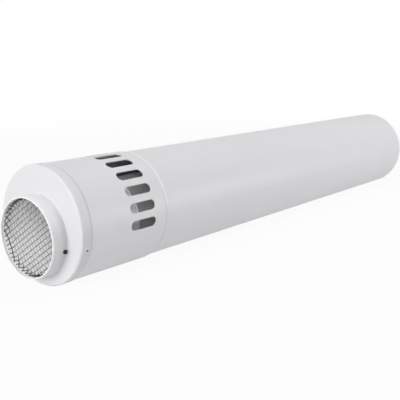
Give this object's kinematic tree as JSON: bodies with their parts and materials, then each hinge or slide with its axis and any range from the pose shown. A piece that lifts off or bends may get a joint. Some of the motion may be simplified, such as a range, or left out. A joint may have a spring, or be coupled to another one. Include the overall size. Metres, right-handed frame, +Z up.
{
  "type": "coaxial flue pipe",
  "caption": "Coaxial flue pipe with an air pipe round a sloping exhaust pipe, a slotted air terminal and an off-centre mouth with a wire mesh guard.",
  "frame": {"origin": "on the ground under the middle of the pipe's length, directly below the air pipe's axis", "axes": "+Y along the air pipe from the mouth to the boiler end, +Z up with the mouth below the air pipe's axis and the slots on top, +X to the right seen from the mouth"},
  "size_m": [0.1652, 1.0196, 0.1652],
  "materials": {
    "white_enamel": "smooth white powder coat, semi-gloss",
    "bare_aluminium": "bare rolled sheet, dull",
    "steel_wire": "plain drawn stainless wire",
    "dark_screw": "blackened, slightly glossy",
    "rivet_metal": "plain rivet aluminium",
    "spring_steel": "cold rolled strip",
    "seal_rubber": "dark matt silicone"
  },
  "bodies": {
    "root": {"outer_pipe": "white_enamel", "terminal_sleeve": "white_enamel", "end_cap": "white_enamel", "terminal_tube": "white_enamel", "exhaust_pipe": "bare_aluminium", "mesh_guard": "steel_wire", "neck_screws": "dark_screw", "skirt_rivets": "rivet_metal", "front_spacer": "spring_steel", "rear_spacer": "spring_steel", "joint_seal": "seal_rubber"}
  },
  "joints": []
}
